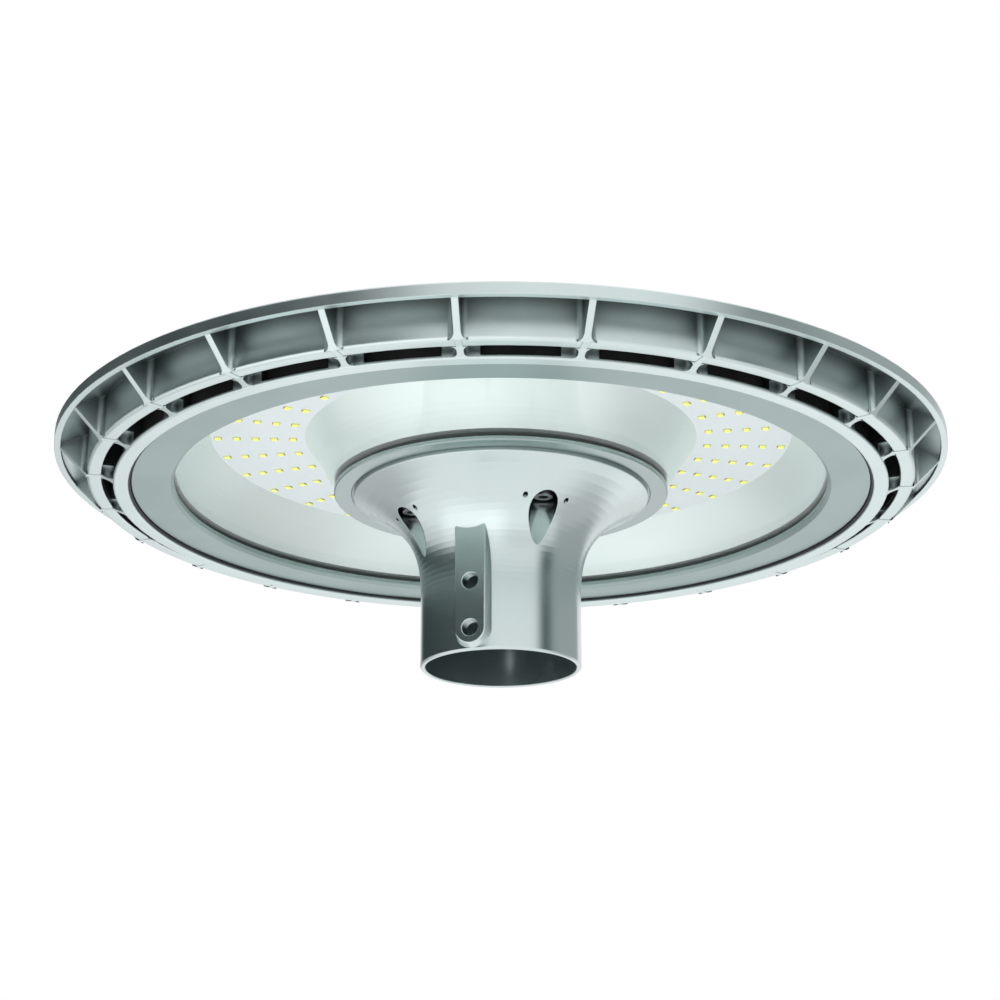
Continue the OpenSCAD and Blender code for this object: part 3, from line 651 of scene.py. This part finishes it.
@dataclass
class PhotoCamera:
    """Camera at the photograph's place: below the disc, looking up past the spigot."""

    distance: float = 1.0993
    drop: float = 0.2806
    azimuth: float = 20.0
    pitch: float = 18.753
    lens: float = 78.36
    sensor: float = 36.0
    shift_right: float = -0.0009

    def ahead(self) -> Vector:
        """Level direction in which the camera looks."""
        turn = math.radians(self.azimuth)
        return Vector((-math.sin(turn), math.cos(turn), 0.0))

    def build(self) -> None:
        """Make the camera and hand it to the scene."""
        rise = math.radians(self.pitch)
        ahead = self.ahead()
        look = ahead * math.cos(rise) + UP * math.sin(rise)
        right = ahead.cross(UP)
        up = right.cross(look)
        data = bpy.data.cameras.new("photo camera")
        data.lens = self.lens
        data.sensor_width = self.sensor
        data.shift_x = self.shift_right
        camera = bpy.data.objects.new("photo camera", data)
        bpy.context.scene.collection.objects.link(camera)
        spot = -ahead * self.distance - UP * self.drop
        turned = Matrix((right, up, -look)).transposed().to_4x4()
        camera.matrix_world = Matrix.Translation(spot) @ turned
        bpy.context.scene.camera = camera
        LOG.info("camera at %s", tuple(round(v, 3) for v in spot))


@dataclass(frozen=True)
class Wall:
    """One upright stretch of the round studio wall, by its turn to the right of the camera.

    The angles are degrees. The stretch changes the light by high above the horizon and by low
    below it, in full over half_width to each side and fading over edge.
    """

    name: str
    centre: float
    half_width: float
    edge: float
    high: float
    low: float


@dataclass(frozen=True)
class SoftBox:
    """One rectangular lamp, aimed at a point of the object."""

    name: str
    place: Triple
    aim: Triple
    size: tuple[float, float]
    radiance: float

    def build(self) -> None:
        """Make the lamp and turn it to its aim."""
        data = bpy.data.lights.new(self.name, "AREA")
        data.shape = "RECTANGLE"
        data.size, data.size_y = self.size
        data.energy = self.radiance * math.pi * self.size[0] * self.size[1]
        lamp = bpy.data.objects.new(self.name, data)
        bpy.context.scene.collection.objects.link(lamp)
        lamp.location = self.place
        away = Vector(self.place) - Vector(self.aim)
        lamp.rotation_euler = away.to_track_quat("Z", "Y").to_euler()


@dataclass
class Studio:
    """Pale floor, round wall with lit stretches and dark flags, and the lamp overhead.

    Each band is two sines of a direction's rise, at which a change starts and is complete.
    """

    ahead: Vector
    floor_depth: float = -1.1
    floor_size: float = 60.0
    floor_light: float = 0.93
    overhead: float = 0.5
    flag: float = 0.05
    flag_tint: Colour = (0.74, 1.0, 1.0)
    horizon_band: tuple[float, float] = (0.10, -0.12)
    near_floor_band: tuple[float, float] = (-0.22, -0.44)
    under_band: tuple[float, float] = (-0.60, -0.90)
    overhead_band: tuple[float, float] = (0.75, 0.98)
    far_floor: float = 0.84
    near_floor_gain: float = 0.24
    box: SoftBox = SoftBox("overhead", (0, 0, 3.6), (0, 0, 0), (5.0, 5.0), 0.45)
    walls: tuple[Wall, ...] = (
        Wall("front panel", 16.0, 32.0, 16.0, 0.90, 0.05),
        Wall("low panel on the left", -38.0, 30.0, 26.0, 0.0, 0.30),
        Wall("grey on the right", 106.0, 22.0, 18.0, 0.38, -0.40),
        Wall("white behind", 172.0, 24.0, 16.0, 0.90, 0.12),
        Wall("flag behind on the left", -142.0, 12.0, 14.0, 0.0, -0.42),
    )

    def build(self) -> None:
        """Make the stage and its light."""
        bpy.context.scene.view_settings.view_transform = "Standard"
        self._world()
        self._floor()
        self.box.build()
        LOG.info("studio with %s", ", ".join(wall.name for wall in self.walls))

    def _facing(self, turn: float) -> Vector:
        """Level direction from the object, turned to the camera's right from the camera."""
        right = self.ahead.cross(UP)
        return -self.ahead * math.cos(math.radians(turn)) + right * math.sin(math.radians(turn))

    def _light(self, g: Graph, way: Field) -> tuple[Field, Field]:
        """Strength and colour of the studio in a direction from the object.

        Args:
            g: the graph that needs them.
            way: the direction, of any length.

        Returns:
            The strength and the colour.
        """
        way = g.node("ShaderNodeVectorMath", {"operation": "NORMALIZE"}, {0: way})
        level = g.node("ShaderNodeVectorMath", {"operation": "MULTIPLY"}, {0: way, 1: (1, 1, 0)})
        level = g.node("ShaderNodeVectorMath", {"operation": "NORMALIZE"}, {0: level})
        high: Value = self.flag
        low: Value = self.floor_light
        for wall in self.walls:
            along = g.node(
                "ShaderNodeVectorMath",
                {"operation": "DOT_PRODUCT"},
                {0: level, 1: tuple(self._facing(wall.centre))},
                "Value",
            )
            apart = g.node("ShaderNodeMath", {"operation": "ARCCOSINE"}, {0: along})
            full, none = math.radians(wall.half_width), math.radians(wall.half_width + wall.edge)
            window = apart.ramp(none, full)
            high = high + window * wall.high
            low = low + window * wall.low
        rise = g.node("ShaderNodeSeparateXYZ", {}, {0: way}, 2)
        low = low + (self.floor_light - low) * rise.ramp(*self.under_band)
        low = low * (self.far_floor + self.near_floor_gain * rise.ramp(*self.near_floor_band))
        strength = high + (low - high) * rise.ramp(*self.horizon_band)
        strength = strength + (self.overhead - strength) * rise.ramp(*self.overhead_band)
        colour = g.blend(strength.ramp(0.0, 0.6), self.flag_tint, WHITE)
        return strength, colour

    def _world(self) -> None:
        """White where the camera looks, and the studio wall as light on the object."""
        g = Graph(bpy.data.worlds.new("studio world"))
        bpy.context.scene.world = g.owner
        strength, colour = self._light(g, g.node("ShaderNodeTexCoord", {}, {}, "Generated"))
        wall_light = g.node("ShaderNodeBackground", {}, {"Color": colour, "Strength": strength})
        white = g.node("ShaderNodeBackground", {}, {"Color": WHITE, "Strength": 1.0})
        seen = g.node("ShaderNodeLightPath", {}, {}, "Is Camera Ray")
        mixed = g.node("ShaderNodeMixShader", {}, {0: seen, 1: wall_light, 2: white})
        g.finish(mixed, "ShaderNodeOutputWorld")

    def _floor(self) -> None:
        """Pale floor that shows its shadow to the camera and the studio's light to the object."""
        bpy.ops.object.select_all(action="DESELECT")
        bpy.ops.mesh.primitive_plane_add(size=self.floor_size, location=(0, 0, self.floor_depth))
        bpy.ops.object.transform_apply()
        floor = bpy.context.object
        floor.name = "studio_floor"
        g = Graph.of_material("pale floor")
        tone = g.blend(g.noise(0.8, 2.0), (0.80, 0.80, 0.80), (0.84, 0.84, 0.84))
        plain = g.surface(Base_Color=tone, Roughness=0.7)
        strength, colour = self._light(g, g.place)
        glow = g.node("ShaderNodeEmission", {}, {"Color": colour, "Strength": strength})
        seen = g.node("ShaderNodeLightPath", {}, {}, "Is Camera Ray")
        mixed = g.node("ShaderNodeMixShader", {}, {0: seen, 1: glow, 2: plain})
        floor.data.materials.append(g.finish(mixed))


class Bench:
    """Modelling moves on one mesh at a time, as by hand."""

    FACING = 0.9
    MERGE = 0.001 * MM

    @staticmethod
    def block(name: str, size: Triple, centre: Triple) -> bpy.types.Object:
        """Lay down a block alone on the bench, with its place in its mesh.

        Args:
            name: name of the new piece.
            size: its sides in metres.
            centre: its middle in metres.

        Returns:
            The new piece, selected and active.
        """
        bpy.ops.object.select_all(action="DESELECT")
        bpy.ops.mesh.primitive_cube_add(size=1.0, location=centre)
        piece = bpy.context.object
        piece.name = piece.data.name = name
        piece.scale = size
        bpy.ops.object.transform_apply()
        return piece

    @staticmethod
    def pick(
        piece: bpy.types.Object, wanted: Callable[[Element], bool], vertices: bool = False
    ) -> None:
        """Select the faces or the vertices that pass a test and enter edit mode on them.

        Args:
            piece: the piece on the bench.
            wanted: says whether a face or a vertex is taken.
            vertices: whether vertices are picked and not faces.
        """
        mesh = piece.data
        bpy.context.tool_settings.mesh_select_mode = (vertices, False, not vertices)
        for group in (mesh.vertices, mesh.edges, mesh.polygons):
            for item in group:
                item.select = False
        for item in mesh.vertices if vertices else mesh.polygons:
            item.select = wanted(item)
        bpy.ops.object.mode_set(mode="EDIT")

    @staticmethod
    def pick_lower(piece: bpy.types.Object) -> None:
        """Select the faces that look down and enter edit mode on them."""
        Bench.pick(piece, lambda face: face.normal.z < -Bench.FACING)

    @staticmethod
    def put_down() -> None:
        """Leave edit mode with the whole skin facing outwards."""
        bpy.ops.mesh.select_all(action="SELECT")
        bpy.ops.mesh.remove_doubles(threshold=Bench.MERGE)
        bpy.ops.mesh.normals_make_consistent(inside=False)
        bpy.ops.object.mode_set(mode="OBJECT")

    @staticmethod
    def repeat(model: bpy.types.Object, places: list[Matrix]) -> bpy.types.Object:
        """Copy a model to each place, join the copies and take the model away.

        Args:
            model: the piece to copy.
            places: where the copies go.

        Returns:
            The joined piece, under the model's name.
        """
        name = model.name
        copies = []
        for place in places:
            copy = bpy.data.objects.new(name, model.data.copy())
            copy.data.transform(place)
            bpy.context.scene.collection.objects.link(copy)
            copies.append(copy)
        bpy.data.objects.remove(model)
        bpy.ops.object.select_all(action="DESELECT")
        for copy in copies:
            copy.select_set(True)
        bpy.context.view_layer.objects.active = copies[0]
        bpy.ops.object.join()
        joined = bpy.context.object
        joined.name = joined.data.name = name
        return joined


@dataclass
class LedArray:
    """Rows of light-emitting diodes, each a moulded body with a window and two solder ends."""

    board_z: float
    height: float
    layout: ChipLayout
    body: tuple[float, float] = (3.7 * MM, 3.3 * MM)
    solder: tuple[float, float] = (2.6 * MM, 0.4 * MM)
    solder_height: float = 0.7
    solder_toe: float = 0.35
    rim: float = 0.22 * MM
    recess: float = 0.12 * MM
    round_off: float = 0.1 * MM

    def places(self) -> list[Matrix]:
        """Where each chip sits, from its model on the axis at the origin."""
        first, pitch = self.layout.first_ring, self.layout.ring_pitch
        return [
            Matrix.Rotation(row * 2.0 * math.pi / self.layout.rows, 4, "Z")
            @ Matrix.Translation((0.0, -first - ring * pitch, self.board_z))
            for row in range(self.layout.rows)
            for ring in range(self.layout.rings)
        ]

    def _body(self) -> bpy.types.Object:
        """Bevelled body with a recess for the window in its lower face."""
        piece = Bench.block(
            "led_bodies", (*self.body, self.height), (0.0, 0.0, -self.height / 2)
        )
        Bench.pick_lower(piece)
        bpy.ops.mesh.bevel(offset=self.round_off, segments=1, affect="EDGES")
        bpy.ops.object.mode_set(mode="OBJECT")
        Bench.pick_lower(piece)
        bpy.ops.mesh.inset(thickness=self.rim)
        bpy.ops.mesh.inset(thickness=self.rim / 4, depth=-self.recess)
        Bench.put_down()
        return piece

    def _window(self) -> bpy.types.Object:
        """Window of phosphor gel, slightly domed, that fills the recess."""
        inner = tuple(side - 2 * (self.rim + self.round_off) for side in self.body)
        face_z = self.recess - self.height
        piece = Bench.block("led_windows", (*inner, self.recess), (0.0, 0.0, face_z))
        Bench.pick_lower(piece)
        bpy.ops.mesh.inset(thickness=self.rim / 2)
        bpy.ops.transform.translate(value=(0.0, 0.0, -self.recess / 3))
        Bench.put_down()
        return piece

    def _solder(self) -> bpy.types.Object:
        """Solder fillet that slopes from the body's end to its pad on the board."""
        width, run = self.solder
        tall = self.height * self.solder_height
        inner = self.body[1] / 2
        middle_y, middle_z = inner + run / 2, -tall / 2
        piece = Bench.block("led_solder", (width, run, tall), (0.0, middle_y, middle_z))
        Bench.pick(piece, lambda face: face.normal.y > Bench.FACING)
        bpy.ops.mesh.inset(thickness=self.round_off)
        bpy.ops.mesh.extrude_region_move(TRANSFORM_OT_translate={"value": (0.0, -run / 4, 0.0)})
        Bench.put_down()
        Bench.pick(piece, lambda point: point.co.y > middle_y and point.co.z < middle_z, True)
        bpy.ops.transform.resize(
            value=(1.0, 1.0, 0.0), center_override=(0.0, 0.0, -tall * self.solder_toe)
        )
        bpy.ops.object.mode_set(mode="OBJECT")
        return piece

    def build(self, finish: Finishes) -> list[bpy.types.Object]:
        """Make the three groups of repeated parts and dress them.

        Args:
            finish: the finishes to take from.

        Returns:
            The pieces made.
        """
        solder = self._solder()
        places = self.places()
        turns = [Matrix.Rotation(angle, 4, "Z") for angle in (0.0, math.pi)]
        ends = [place @ turn for place in places for turn in turns]
        made = [
            Bench.repeat(self._body(), places),
            Bench.repeat(self._window(), places),
            Bench.repeat(solder, ends),
        ]
        for piece, shelf in zip(made, (Shelf.PACKAGE, Shelf.CHIP, Shelf.SOLDER)):
            finish.put_on(piece, shelf)
            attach(piece, "root")
            LOG.info("piece %s: %d faces", piece.name, len(piece.data.polygons))
        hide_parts("led_chips")
        return made


def main() -> None:
    """Build the light's looks in order and report each piece."""
    logging.basicConfig(level=logging.INFO, format="%(name)s: %(message)s")
    camera = PhotoCamera()
    camera.build()
    layout = ChipLayout()
    finishes = Finishes(layout)
    finishes.build()
    finishes.dress(frame["nodes"], frame["record"]["subparts"])
    low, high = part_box("led_chips")
    LedArray(board_z=high[2], height=high[2] - low[2], layout=layout).build(finishes)
    Studio(camera.ahead()).build()


if __name__ == "__main__":
    main()
